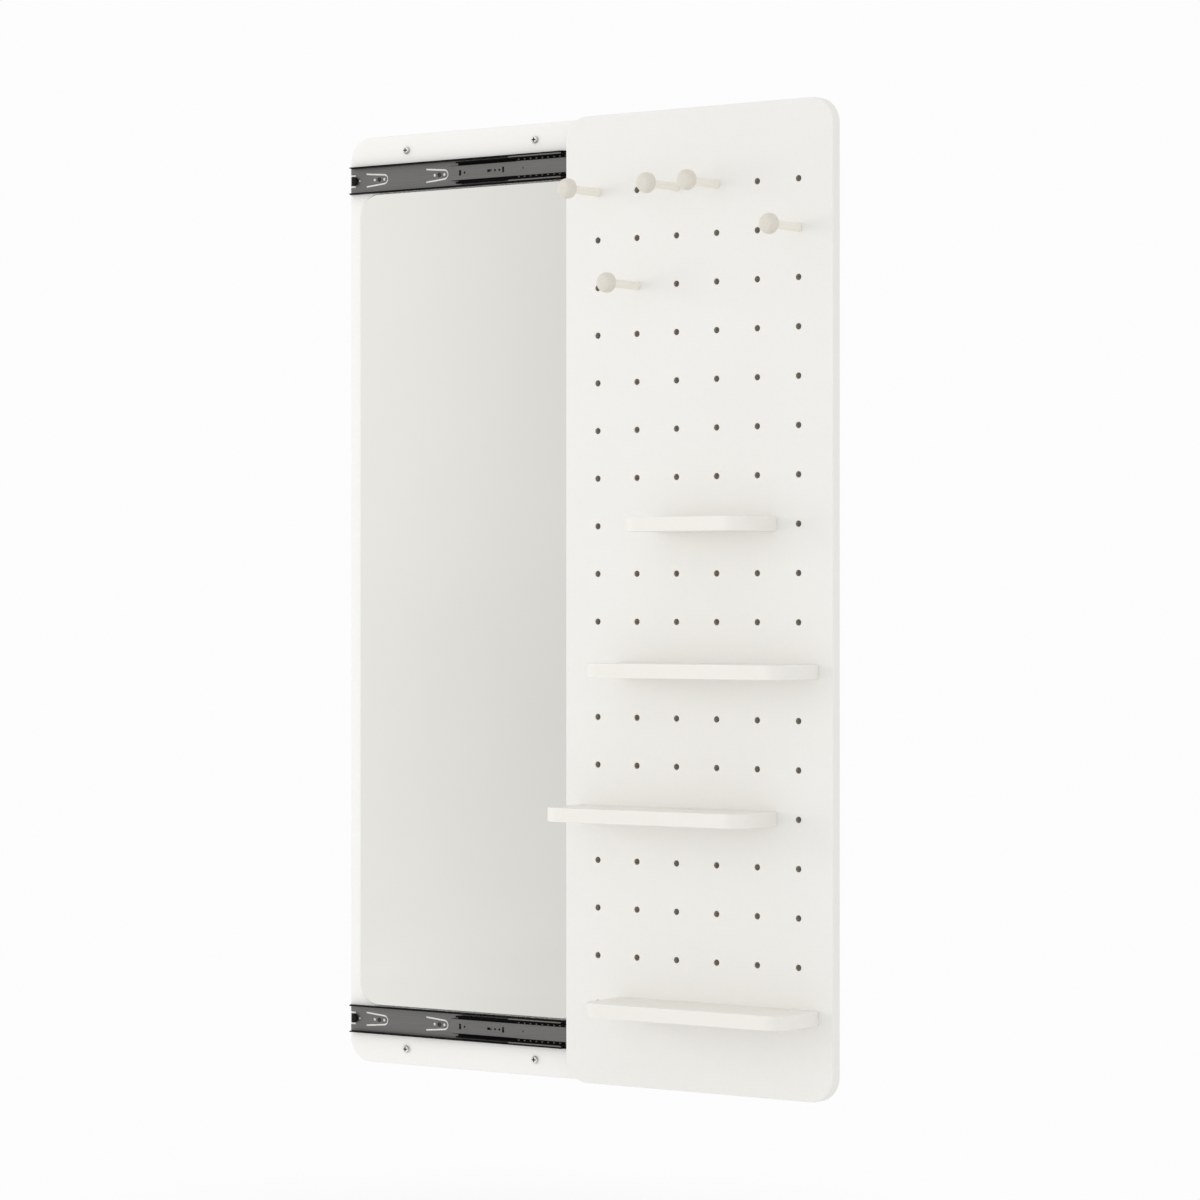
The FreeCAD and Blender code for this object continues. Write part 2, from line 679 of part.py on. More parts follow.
for side, up in SIDES:
    outer_member(f"{side}_outer_member", up)
    middle_member(f"{side}_middle_member", up)
    inner_member(f"{side}_inner_member", up)
    cage(f"{side}_outer_cage", up, OUTER_CAGE_LEFT, "outer_cage_length", OUTER_CAGE, "outer_cage_depth",
         "outer_cage_lip", *OUTER_ROW)
    balls(f"{side}_outer_balls", up, OUTER_CAGE_LEFT, *OUTER_ROW)
    strip = cage(f"{side}_inner_cage", up, INNER_CAGE_LEFT, INNER_CAGE_LENGTH, INNER_CAGE,
                 "inner_cage_depth", None, *INNER_ROW)
    web_cut(strip, "gauge", up, INNER_CAGE_LEFT, f"{INNER_CAGE} + cage_thickness",
            lambda sketch: circle(sketch, "gauge_place", "0", "gauge_radius"))
    balls(f"{side}_inner_balls", up, INNER_CAGE_LEFT, *INNER_ROW)

bumpers = new_body("slide_bumpers")
sketch = drawing(bumpers, "outline", "XZ_Plane", across=f"{OUTER_LEFT} + bumper_inset",
                 lift="board_thickness + sheet_thickness")
for side, up in SIDES:
    rectangle(sketch, "0", "bumper_length", f"{up} - bumper_height / 2", f"{up} + bumper_height / 2")
blocks = pad(bumpers, "blocks", sketch, "bumper_depth")
doc.recompute()
bumper_end = blocks.Shape.BoundBox.XMax
fillet(bumpers, "round", blocks,
       lambda edge: runs_along(edge, "y") and edge.BoundBox.XMin > bumper_end - 0.01,
       "min(bumper_round; bumper_height / 2 - least_flat; bumper_length - least_flat)")


# Pegs and shelves

def peg(label, column, row):
    """Turn one mushroom peg in the hole at a column and row."""
    body = new_body(label)
    sketch = drawing(body, "profile", "XY_Plane", across=hole_across(column), lift=hole_up(row))
    plug = "hole_radius - plug_clearance"
    plug_end = f"plug_length - {PANEL_FRONT}"
    shoulder = f"-({PANEL_FRONT} + seat_gap)"
    neck = f"-({PANEL_FRONT} + seat_gap + peg_shank_length)"
    front = f"-({PANEL_FRONT} + seat_gap + peg_shank_length + peg_head_length)"
    polygon(sketch, [
        ("0", plug_end), (plug, plug_end), (plug, shoulder), ("peg_shank_radius", shoulder),
        ("peg_shank_radius", neck), ("peg_head_radius", neck), ("peg_head_radius", front), ("0", front),
    ])
    turned = revolve(body, "turned", sketch)
    front_rim = on_front(turned)
    widest = turned.Shape.BoundBox.XLength - 0.01
    shaped = fillet(body, "rear_round", turned,
                    lambda edge: edge.BoundBox.XLength > widest and not front_rim(edge), "peg_rear_round")
    fillet(body, "front_round", shaped,
           lambda edge: edge.BoundBox.XLength > widest and front_rim(edge),
           "min(peg_front_round; peg_head_length - peg_rear_round - least_flat)")


def shelf(label, first, last, row):
    """Make one shelf over a span of columns, with the dowels that plug it into the panel."""
    body = new_body(f"{label}_board")
    rear = f"({PANEL_FRONT} + seat_gap)"
    sketch = drawing(body, "outline", "XY_Plane", lift=f"{hole_up(row)} - shelf_thickness / 2")
    rectangle(sketch, f"{hole_across(first)} - shelf_overhang", f"{hole_across(last)} + shelf_overhang",
              f"-({rear} + shelf_depth)", f"-{rear}")
    slab = pad(body, "slab", sketch, "shelf_thickness")
    front = on_front(slab)
    shaped = fillet(body, "corners", slab,
                    lambda edge: runs_along(edge, "z") and front(edge), "shelf_corner")
    doc.recompute()
    back = shaped.Shape.BoundBox.YMax
    fillet(body, "round", shaped,
           lambda edge: edge.BoundBox.ZLength < 0.01 and edge.BoundBox.YMin < back - 0.01, "shelf_round")
    sketch = drawing(body, "dowel", "XZ_Plane", up=hole_up(row), lift=rear)
    for column in (first, last):
        circle(sketch, hole_across(column), "0", "hole_radius")
    pocket(body, "dowel_holes", sketch, "dowel_depth", backwards=True)

    dowels = new_body(f"{label}_dowels")
    sketch = drawing(dowels, "section", "XZ_Plane", up=hole_up(row), lift=f"{PANEL_FRONT} - plug_length")
    for column in (first, last):
        circle(sketch, hole_across(column), "0", "hole_radius - plug_clearance")
    pad(dowels, "pair", sketch, "plug_length + seat_gap + dowel_depth - dowel_end_gap")


peg("peg_one", 0, 0)
peg("peg_two", 2, 0)
peg("peg_three", 3, 0)
peg("peg_four", 5, 1)
peg("peg_five", 1, 2)

shelf("short_shelf", 2, 4, 7)
shelf("upper_shelf", 1, 5, 10)
shelf("middle_shelf", 0, 4, 13)
shelf("lower_shelf", 1, 5, 17)

doc.recompute()

# Check every object and write one file per piece

for thing in doc.Objects:
    if "Invalid" in thing.State or "Error" in thing.State:
        raise RuntimeError(f"{thing.Label} did not build: {thing.State}")

os.makedirs("parts", exist_ok=True)
for body in bodies:
    shape = body.Shape
    if shape.isNull() or not shape.isValid() or not shape.Solids:
        raise RuntimeError(f"{body.Label} has no valid solid")
    shape.exportStep(f"parts/{body.Label}.step")
    print(f"{body.Label}: {len(shape.Solids)} solids, {shape.Volume / 1000:.2f} cm3")
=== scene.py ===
# %% [markdown]
# # A wall mirror behind a sliding pegboard
# The object is a white back board that is screwed to a wall. A mirror is stuck on it, and a pegboard panel of
# the same size runs sideways in front of the mirror on two ball slides. Pegs and shelves plug into the panel.
# Almost every piece is hard and machine-made, so the CAD solids already have the right shapes. This script
# keeps them, gives each one a finish, and rebuilds the few pieces that have finer detail than the CAD model.
# Lengths are in metres, apart from the camera's lens and sensor, which are in millimetres as usual.

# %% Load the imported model
import math

import bmesh
import bpy
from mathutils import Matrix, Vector


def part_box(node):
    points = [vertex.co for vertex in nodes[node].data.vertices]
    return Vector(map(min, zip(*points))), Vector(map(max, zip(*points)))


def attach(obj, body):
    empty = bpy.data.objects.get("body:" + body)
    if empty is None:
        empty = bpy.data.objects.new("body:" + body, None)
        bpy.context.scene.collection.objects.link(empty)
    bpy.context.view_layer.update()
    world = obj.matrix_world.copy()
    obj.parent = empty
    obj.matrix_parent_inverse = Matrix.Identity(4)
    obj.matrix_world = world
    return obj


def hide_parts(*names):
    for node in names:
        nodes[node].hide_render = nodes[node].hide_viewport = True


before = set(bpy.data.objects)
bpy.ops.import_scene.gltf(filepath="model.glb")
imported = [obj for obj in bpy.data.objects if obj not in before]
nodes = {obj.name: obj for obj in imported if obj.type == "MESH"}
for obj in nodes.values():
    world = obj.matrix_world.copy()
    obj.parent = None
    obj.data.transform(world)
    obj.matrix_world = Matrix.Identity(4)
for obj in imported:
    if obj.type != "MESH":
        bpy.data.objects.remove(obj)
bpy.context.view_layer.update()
scene = bpy.context.scene
print("CAD nodes:", len(nodes))

# %% [markdown]
# ## Camera
# The photograph was taken from the right, level with the middle of the board, through a long lens: upright
# edges stay upright and the two boards shrink only a little towards the left. The place, turn and lens below
# were worked out from the straight rows of peg holes, whose pitch is known. A long lens could also be faked
# by an orthographic camera, but then the boards' top and bottom edges would run parallel, and they don't.

# %% Set the camera
CAMERA_PLACE = (3.9450, -5.1692, -0.0005)
CAMERA_YAW = math.radians(35.59)
CAMERA_LENS = 120.05
SENSOR_WIDTH = 36

camera_data = bpy.data.cameras.new("camera")
camera_data.lens = CAMERA_LENS
camera_data.sensor_width = SENSOR_WIDTH
camera = bpy.data.objects.new("camera", camera_data)
camera.location = CAMERA_PLACE
camera.rotation_euler = (math.radians(90), 0, CAMERA_YAW)
scene.collection.objects.link(camera)
scene.camera = camera
scene.view_settings.view_transform = "Standard"
print("camera at", CAMERA_PLACE, "with a lens of", CAMERA_LENS, "mm")

# %% [markdown]
# ## Small helpers for node trees
# Every finish below is a tree of shader nodes. Writing `nodes.new` and `links.new` for each one hides what
# the tree does, so these helpers add a node, set its options and plug its inputs in one call. A noise keeps
# most of its values near its middle, so `spread` stretches that part on to the range that a finish needs.

# %% Define the node helpers
NOISE_LOW = 0.3
NOISE_HIGH = 0.7


def add(tree, kind, inputs=None, **options):
    """Add a node, set its options, and plug in or set its inputs by name or number."""
    node = tree.nodes.new(kind)
    for option, value in options.items():
        setattr(node, option, value)
    for key, value in (inputs or {}).items():
        if isinstance(value, bpy.types.NodeSocket):
            tree.links.new(value, node.inputs[key])
        else:
            node.inputs[key].default_value = value
    return node


def calc(tree, operation, *values):
    """Work out one number from others."""
    return add(tree, "ShaderNodeMath", dict(enumerate(values)), operation=operation).outputs[0]


def remap(tree, value, low, high, new_low, new_high):
    """Stretch a range smoothly on to another one."""
    inputs = {"Value": value, "From Min": low, "From Max": high, "To Min": new_low, "To Max": new_high}
    return add(tree, "ShaderNodeMapRange", inputs, interpolation_type="SMOOTHSTEP").outputs["Result"]


def mix_colours(tree, factor, first, second):
    return add(tree, "ShaderNodeMix", {0: factor, 6: first, 7: second}, data_type="RGBA").outputs[2]


def surface_point(tree):
    """The point being shaded, in the frame of the CAD model, so a pattern stays on its piece as it moves."""
    return add(tree, "ShaderNodeTexCoord").outputs["Object"]


def noise(tree, point, scale, detail=2.0, roughness=0.5):
    inputs = {"Vector": point, "Scale": scale, "Detail": detail, "Roughness": roughness}
    return add(tree, "ShaderNodeTexNoise", inputs).outputs["Fac"]


def spread(tree, value, new_low, new_high):
    """Stretch the usual values of a noise on to a range."""
    return remap(tree, value, NOISE_LOW, NOISE_HIGH, new_low, new_high)


print("a noise is stretched from", NOISE_LOW, "to", NOISE_HIGH)

# %% [markdown]
# A node group is a tree that other trees can place like a single node. The first two helpers make a group and
# place it, and the third starts a material. What is the same all over a surface is set on the shader's own
# socket and not through a group, because an exported model keeps it there.

# %% Define helpers for groups and materials
def new_group(name, inputs, outputs):
    """Start a shader node group and return it with its input and output sockets."""
    group = bpy.data.node_groups.new(name, "ShaderNodeTree")
    for label, kind in inputs.items():
        group.interface.new_socket(label, in_out="INPUT", socket_type=f"NodeSocket{kind}")
    for label, kind in outputs.items():
        group.interface.new_socket(label, in_out="OUTPUT", socket_type=f"NodeSocket{kind}")
    entry = group.nodes.new("NodeGroupInput")
    ending = group.nodes.new("NodeGroupOutput")
    return group, entry.outputs, ending.inputs


def use_group(tree, group, **inputs):
    """Place a node group with its own values and return its outputs."""
    values = {label.replace("_", " "): value for label, value in inputs.items()}
    return add(tree, "ShaderNodeGroup", values, node_tree=group).outputs


def new_material(name, **constants):
    """Make a material with one Principled shader and set the sockets that are the same all over."""
    material = bpy.data.materials.new(name)
    material.use_nodes = True
    tree = material.node_tree
    shader = tree.nodes["Principled BSDF"]
    for label, value in constants.items():
        shader.inputs[label.replace("_", " ")].default_value = value
    return material, tree, shader.inputs


print("group and material helpers are ready")

# %% [markdown]
# ## Studio
# A white object on a white ground needs soft light from all round. The world gives most of it. A large lamp
# at the left, like a window, brightens the left side of every rounding and lays a soft shade to the right of
# the pegs and shelves, as in the photograph, and a weak one at the right fills that shade a little. The
# background is white because the world shows white to the camera, and to gloss and glass, while its light on
# matt surfaces stays at a plain level. The lamps don't show in gloss, or the mirror would show them.

# %% Light the studio
BACKGROUND_WHITE = 0.98
AMBIENT_LEVEL = 0.88
LAMP_SIZE = 3.6
LAMP_TARGET = Vector((0.2, 0, 0))


def build_world():
    world = bpy.data.worlds.new("studio")
    world.use_nodes = True
    tree = world.node_tree
    tree.nodes.clear()
    light_path = add(tree, "ShaderNodeLightPath").outputs
    seen = calc(tree, "MAXIMUM", light_path["Is Camera Ray"], light_path["Is Glossy Ray"])
    seen = calc(tree, "MAXIMUM", seen, light_path["Is Transmission Ray"])
    white = add(tree, "ShaderNodeBackground", {"Color": (1, 1, 1, 1), "Strength": BACKGROUND_WHITE})
    ambient = add(tree, "ShaderNodeBackground", {"Color": (1, 1, 1, 1), "Strength": AMBIENT_LEVEL})
    both = add(tree, "ShaderNodeMixShader", {0: seen, 1: ambient.outputs[0], 2: white.outputs[0]})
    add(tree, "ShaderNodeOutputWorld", {"Surface": both.outputs[0]})
    scene.world = world


def soft_lamp(name, place, power):
    lamp_data = bpy.data.lights.new(name, "AREA")
    lamp_data.shape = "DISK"
    lamp_data.size = LAMP_SIZE
    lamp_data.energy = power
    lamp = bpy.data.objects.new(name, lamp_data)
    lamp.location = place
    lamp.rotation_euler = (LAMP_TARGET - Vector(place)).to_track_quat("-Z", "Y").to_euler()
    lamp.visible_camera = False
    lamp.visible_glossy = False
    scene.collection.objects.link(lamp)
    print("lamp", name, "of", power, "W")


build_world()
soft_lamp("left_lamp", place=(-4.5, -3.4, 0.2), power=72)
soft_lamp("right_lamp", place=(4.4, -3.6, -0.3), power=14)

# %% [markdown]
# The floor is a wide disc. Its material is a Diffuse shader that catches the shadow below the object, mixed
# with a white glow that only camera and glass rays see. The glow grows with the distance from the object
# until the floor is as white as the background, so no line shows where it ends. The disc's underside is
# clear, so the object can be looked at from below too.

# %% Lay the floor
FLOOR_HEIGHT = -1.06
FLOOR_RADIUS = 6.9
FLOOR_SEGMENTS = 96
FLOOR_WHITE = (0.94, 0.94, 0.94, 1)
SHADOW_NEAR = 0.3
SHADOW_FAR = 1.1
SHADOW_GLOW = 0.7


def add_object(name, mesh):
    made = bpy.data.objects.new(name, mesh)
    scene.collection.objects.link(made)
    return made


def build_floor():
    shape = bmesh.new()
    bmesh.ops.create_circle(shape, cap_ends=True, segments=FLOOR_SEGMENTS, radius=FLOOR_RADIUS)
    mesh = bpy.data.meshes.new("floor")
    shape.to_mesh(mesh)
    shape.free()
    floor = add_object("floor", mesh)
    floor.location.z = FLOOR_HEIGHT
    material = bpy.data.materials.new("studio_floor")
    material.use_nodes = True
    tree = material.node_tree
    tree.nodes.clear()
    light_path = add(tree, "ShaderNodeLightPath").outputs
    seen = calc(tree, "MAXIMUM", light_path["Is Camera Ray"], light_path["Is Transmission Ray"])
    far = add(tree, "ShaderNodeVectorMath", {0: surface_point(tree)}, operation="LENGTH").outputs["Value"]
    glow_share = calc(tree, "MULTIPLY", seen, remap(tree, far, SHADOW_NEAR, SHADOW_FAR, SHADOW_GLOW, 1.0))
    matt = add(tree, "ShaderNodeBsdfDiffuse", {"Color": FLOOR_WHITE})
    glow = add(tree, "ShaderNodeEmission", {"Color": (1, 1, 1, 1), "Strength": BACKGROUND_WHITE})
    both = add(tree, "ShaderNodeMixShader", {0: glow_share, 1: matt.outputs[0], 2: glow.outputs[0]})
    underside = add(tree, "ShaderNodeNewGeometry").outputs["Backfacing"]
    clear = add(tree, "ShaderNodeBsdfTransparent")
    sided = add(tree, "ShaderNodeMixShader", {0: underside, 1: both.outputs[0], 2: clear.outputs[0]})
    add(tree, "ShaderNodeOutputMaterial", {"Surface": sided.outputs[0]})
    mesh.materials.append(material)
    floor.visible_glossy = False
    print("floor at", FLOOR_HEIGHT, "m")


build_floor()

# %% [markdown]
# A mirror has no look of its own: it shows the room. Facing pure white it would be a blank sheet, so a pale
# grey screen stands round the front of the object, behind the camera, as a studio wall would. It is a curved
# strip that turns into a floor of its own through a wide cove. It is not lit but glows, and its glow grows
# brighter towards the sides, a painted pool of light where a studio's lamps would stand. Only gloss and glass
# see it, so it takes no light from the object and no view from the camera.

# %% Make the screen's material
SCREEN_GREY = 0.72
SCREEN_LAMP_POOL = 0.86
LAMP_POOL_FROM = 0.64
LAMP_POOL_TO = 0.88
CLOUD_SCALE = 0.5
CLOUD_CHANGE = 0.02
WARM_TINT = (1.0, 0.985, 0.94)


def screen_material():
    material = bpy.data.materials.new("studio_screen")
    material.use_nodes = True
    tree = material.node_tree
    tree.nodes.clear()
    point = surface_point(tree)
    sides = add(tree, "ShaderNodeSeparateXYZ", {0: point}).outputs
    sideways = calc(tree, "ABSOLUTE", calc(tree, "DIVIDE", sides["X"], sides["Y"]))
    # painted light: the screen's glow grows brighter towards its sides, as if lamps stood there
    level = remap(tree, sideways, LAMP_POOL_FROM, LAMP_POOL_TO, SCREEN_GREY, SCREEN_LAMP_POOL)
    cloud = spread(tree, noise(tree, point, CLOUD_SCALE), -CLOUD_CHANGE, CLOUD_CHANGE)
    level = calc(tree, "ADD", level, cloud)
    tint = add(tree, "ShaderNodeCombineColor", {
        i: calc(tree, "MULTIPLY", level, share) for i, share in enumerate(WARM_TINT)
    })
    glow = add(tree, "ShaderNodeEmission", {"Color": tint.outputs[0], "Strength": 1.0})
    add(tree, "ShaderNodeOutputMaterial", {"Surface": glow.outputs[0]})
    return material


screen_glow = screen_material()
print("screen brightness from", SCREEN_GREY, "to", SCREEN_LAMP_POOL)

# %% Stand the screen in front of the mirror
SCREEN_RADIUS = 7.4
SCREEN_TOP = 4.5
SCREEN_REACH = 85
SCREEN_STEP = 5
SCREEN_INNER = 0.4
SCREEN_FOOT = FLOOR_HEIGHT + 0.01
COVE_RADIUS = 2.4
COVE_STEPS = 12


def screen_profile():
    """Radius and height up the screen, from the floor through the cove to the top."""
    profile = [(SCREEN_INNER, SCREEN_FOOT)]
    for step in range(COVE_STEPS + 1):
        turn = math.radians(90) * step / COVE_STEPS
        inward = COVE_RADIUS * (1 - math.sin(turn))
        rise = COVE_RADIUS * (1 - math.cos(turn))
        profile.append((SCREEN_RADIUS - inward, SCREEN_FOOT + rise))
    profile.append((SCREEN_RADIUS, SCREEN_TOP))
    return profile


def build_screen():
    shape = bmesh.new()
    rows = []
    for radius, height in screen_profile():
        row = []
        for degrees in range(-SCREEN_REACH, SCREEN_REACH + 1, SCREEN_STEP):
            turn = math.radians(degrees)
            row.append(shape.verts.new((radius * math.sin(turn), -radius * math.cos(turn), height)))
        rows.append(row)
    for lower, upper in zip(rows, rows[1:]):
        for i in range(len(lower) - 1):
            face = shape.faces.new((lower[i], lower[i + 1], upper[i + 1], upper[i]))
            face.smooth = True
    mesh = bpy.data.meshes.new("grey_screen")
    shape.to_mesh(mesh)
    shape.free()
    screen = add_object("grey_screen", mesh)
    screen.visible_camera = False
    screen.visible_diffuse = False
    screen.visible_shadow = False
    mesh.materials.append(screen_glow)
    print("screen of", SCREEN_RADIUS, "m radius")


build_screen()

# %% [markdown]
# ## Effects that several finishes share
# Sprayed lacquer is never perfectly even. It has a slow change of tone, a slow change of gloss, and the fine
# dimples that painters call orange peel. One node group makes all three from noise of different sizes, and
# each lacquered piece places it with its own tone. Copying the nodes into each material would work too, but
# then a change to the lacquer would have to be made in every one of them.

# %% Make the lacquer group
MOTTLE_SCALE = 2.3
MOTTLE_LOW = 0.25
MOTTLE_HIGH = 0.75
SPECK_SCALE = 160.0
SPECK_SHARE = 0.4
PATCH_SCALE = 9.0
PATCH_CHANGE = 0.05


def make_lacquer_group():
    group, entry, ending = new_group(
        "sprayed_lacquer",
        {"Tone": "Color", "Mottle": "Float", "Gloss Level": "Float", "Peel Size": "Float"},
        {"Colour": "Color", "Roughness": "Float", "Height": "Float"},
    )
    point = surface_point(group)
    mottle = noise(group, point, MOTTLE_SCALE, detail=4.0)
    slow = remap(group, mottle, MOTTLE_LOW, MOTTLE_HIGH, -1.0, 1.0)
    speck = spread(group, noise(group, point, SPECK_SCALE), -SPECK_SHARE, SPECK_SHARE)
    change = calc(group, "MULTIPLY_ADD", calc(group, "ADD", slow, speck), entry["Mottle"], 1.0)
    toned = add(group, "ShaderNodeVectorMath", {0: entry["Tone"], "Scale": change}, operation="SCALE")
    group.links.new(toned.outputs[0], ending["Colour"])
    patch = spread(group, noise(group, point, PATCH_SCALE, detail=3.0), -PATCH_CHANGE, PATCH_CHANGE)
    group.links.new(calc(group, "ADD", entry["Gloss Level"], patch), ending["Roughness"])
    peel_scale = calc(group, "DIVIDE", 1.0, entry["Peel Size"])
    group.links.new(noise(group, point, peel_scale, roughness=0.4), ending["Height"])
    return group


lacquer_group = make_lacquer_group()
print("group", lacquer_group.name)

# %% [markdown]
# Hands and cleaning cloths polish the edges of a painted board first, and its rounded edges catch the light,
# so the paler tone given to the edges is partly wear and partly a painted highlight. The group below finds a
# box's
# edges: a point near an edge is close to two of the box's faces at once, so the second smallest of its
# distances to the three pairs of faces is small there. Blender's Bevel node finds edges too, but it slows
# every render.

# %% Make the rubbed edge group
WEAR_SCALE = 22.0
LEAST_WEAR = 0.3
MOST_WEAR = 1.6


def make_edge_group():
    group, entry, ending = new_group(
        "rubbed_and_highlit_edges",
        {"Centre": "Vector", "Half Size": "Vector", "Width": "Float"},
        {"Mask": "Float"},
    )
    point = surface_point(group)
    offset = add(group, "ShaderNodeVectorMath", {0: point, 1: entry["Centre"]}, operation="SUBTRACT")
    away = add(group, "ShaderNodeVectorMath", {0: offset.outputs[0]}, operation="ABSOLUTE")
    inward = {0: entry["Half Size"], 1: away.outputs[0]}
    left = add(group, "ShaderNodeVectorMath", inward, operation="SUBTRACT")
    gaps = add(group, "ShaderNodeSeparateXYZ", {0: left.outputs[0]}).outputs
    nearer = calc(group, "MINIMUM", gaps[0], gaps[1])
    farther = calc(group, "MAXIMUM", gaps[0], gaps[1])
    second = calc(group, "MAXIMUM", nearer, calc(group, "MINIMUM", farther, gaps[2]))
    wear = spread(group, noise(group, point, WEAR_SCALE, detail=3.0), LEAST_WEAR, MOST_WEAR)
    worn = calc(group, "MULTIPLY", entry["Width"], wear)
    mask = add(group, "ShaderNodeMapRange", {"Value": second, "From Max": worn, "To Min": 1.0, "To Max": 0.0})
    group.links.new(mask.outputs["Result"], ending["Mask"])
    return group


edge_group = make_edge_group()
print("group", edge_group.name)

# %% [markdown]
# Rolled steel, drawn wire and turned wood all carry fine lines along one direction. They are noise that is
# squeezed across the lines and stretched along them, so one group with a stretch for each axis serves all.

# %% Make the streak group
COARSE_STREAKS = 1.0
FINE_STREAKS = 2.7


def make_streak_group():
    group, entry, ending = new_group(
        "drawn_streaks", {"Stretch": "Vector"}, {"Streak": "Float", "Height": "Float"}
    )
    factors = {0: surface_point(group), 1: entry["Stretch"]}
    squeezed = add(group, "ShaderNodeVectorMath", factors, operation="MULTIPLY").outputs[0]
    coarse = noise(group, squeezed, COARSE_STREAKS, detail=4.0, roughness=0.6)
    fine = noise(group, squeezed, FINE_STREAKS, detail=3.0)
    group.links.new(spread(group, coarse, 0.0, 1.0), ending["Streak"])
    group.links.new(fine, ending["Height"])
    return group


streak_group = make_streak_group()
print("group", streak_group.name)

# %% [markdown]
# Plated and polished metal is scratched by handling. The scratches are too fine to be seen one by one, so a
# fine noise with much detail stands for them and changes the tone and gloss of each metal a little.

# %% Make the scratch group
SCRATCH_SCALE = 700.0
SCRATCH_DULLING = 0.12
SCRATCH_DEPTH = 0.00001


def make_scratch_group():
    group, entry, ending = new_group("fine_scratches", {"Scale": "Float"}, {"Scratch": "Float"})
    fine = noise(group, surface_point(group), entry["Scale"], detail=4.0, roughness=0.65)
    group.links.new(spread(group, fine, 0.0, 1.0), ending["Scratch"])
    return group


scratch_group = make_scratch_group()
print("group", scratch_group.name)

# %% [markdown]
# ## White lacquer on the boards and shelves
# The boards are fibreboard under warm white satin lacquer. The lacquer stops at the drilled holes, where the
# brown board shows, and that is why the peg holes look so dark. The panel's material finds the hole walls by
# folding the surface into one cell of the hole grid and measuring how far a point is from the cell's middle.
# It asks for a radius a little over the hole's own, so that all of the wall counts. The grid goes on past the
# last hole, so the mask also asks that the surface doesn't face forwards or back.

# %% Make the hole group
FACING_LIMIT = 0.5


def make_hole_group():
    group, entry, ending = new_group(
        "drilled_walls",
        {"First Hole": "Vector", "Pitch": "Float", "Radius": "Float"},
        {"Mask": "Float"},
    )
    ends = {0: surface_point(group), 1: entry["First Hole"]}
    offset = add(group, "ShaderNodeVectorMath", ends, operation="SUBTRACT")
    sides = add(group, "ShaderNodeSeparateXYZ", {0: offset.outputs[0]}).outputs
    half = calc(group, "MULTIPLY", entry["Pitch"], 0.5)
    minus_half = calc(group, "MULTIPLY", entry["Pitch"], -0.5)
    across = calc(group, "WRAP", sides["X"], half, minus_half)
    up = calc(group, "WRAP", sides["Z"], half, minus_half)
    cell = add(group, "ShaderNodeCombineXYZ", {"X": across, "Z": up}).outputs[0]
    reach = add(group, "ShaderNodeVectorMath", {0: cell}, operation="LENGTH").outputs["Value"]
    inside = calc(group, "LESS_THAN", reach, entry["Radius"])
    facing = add(group, "ShaderNodeTexCoord").outputs["Normal"]
    forwards = add(group, "ShaderNodeSeparateXYZ", {0: facing}).outputs["Y"]
    sideways = calc(group, "LESS_THAN", calc(group, "ABSOLUTE", forwards), FACING_LIMIT)
    group.links.new(calc(group, "MULTIPLY", inside, sideways), ending["Mask"])
    return group


hole_group = make_hole_group()
print("group", hole_group.name)

# %% Paint the boards and shelves
SHELVES = ("short_shelf", "upper_shelf", "middle_shelf", "lower_shelf")
WARM_WHITE = (0.905, 0.895, 0.870, 1)
PANEL_WHITE = (0.865, 0.852, 0.820, 1)
SHELF_WHITE = (0.865, 0.842, 0.795, 1)
RUBBED_AND_HIGHLIT_WHITE = (0.90, 0.89, 0.865, 1)
HOLE_PITCH = 0.075
HOLE_RADIUS = 0.00506
HOLE_SIDE_MARGIN = 0.0625
HOLE_TOP_MARGIN = 0.122
RAW_BOARD = (0.42, 0.385, 0.32, 1)
RAW_ROUGHNESS = 0.9
RUBBED_AND_HIGHLIT_SHARE = 0.6
RUBBED_GLOSS = 0.12
PEEL_DEPTH = 0.00008


def paint(node_name, material):
    nodes[node_name].material_slots[0].material = material


def add_bump(tree, inputs, height, depth):
    bump = add(tree, "ShaderNodeBump", {"Height": height, "Distance": depth, "Strength": 1.0})
    tree.links.new(bump.outputs["Normal"], inputs["Normal"])


def lacquer_material(node_name, tone, rubbed_and_highlit, gloss, drilled=False):
    """White lacquer for one board, with edges paled by wear and a painted highlight and, on the panel, raw
    hole walls.
    """
    material, tree, inputs = new_material(f"{node_name}_lacquer", IOR=1.5, Specular_IOR_Level=0.4)
    skin = use_group(tree, lacquer_group, Tone=tone, Mottle=0.008, Gloss_Level=gloss, Peel_Size=0.003)
    low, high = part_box(node_name)
    edges = use_group(tree, edge_group, Centre=(low + high) / 2, Half_Size=(high - low) / 2, Width=0.003)
    # wear and painted highlight: the edge mask pales the lacquer towards a lighter white
    colour = mix_colours(tree, calc(tree, "MULTIPLY", edges["Mask"], RUBBED_AND_HIGHLIT_SHARE), skin["Colour"], rubbed_and_highlit)
    roughness = calc(tree, "MULTIPLY_ADD", edges["Mask"], -RUBBED_GLOSS, skin["Roughness"])
    if drilled:
        first_hole = (low.x + HOLE_SIDE_MARGIN, 0, high.z - HOLE_TOP_MARGIN)
        walls = use_group(tree, hole_group, First_Hole=first_hole, Pitch=HOLE_PITCH, Radius=HOLE_RADIUS)
        colour = mix_colours(tree, walls["Mask"], colour, RAW_BOARD)
        raw = calc(tree, "MULTIPLY", walls["Mask"], RAW_ROUGHNESS)
        roughness = calc(tree, "MAXIMUM", roughness, raw)
    tree.links.new(colour, inputs["Base Color"])
    tree.links.new(roughness, inputs["Roughness"])
    add_bump(tree, inputs, skin["Height"], PEEL_DEPTH)
    paint(node_name, material)


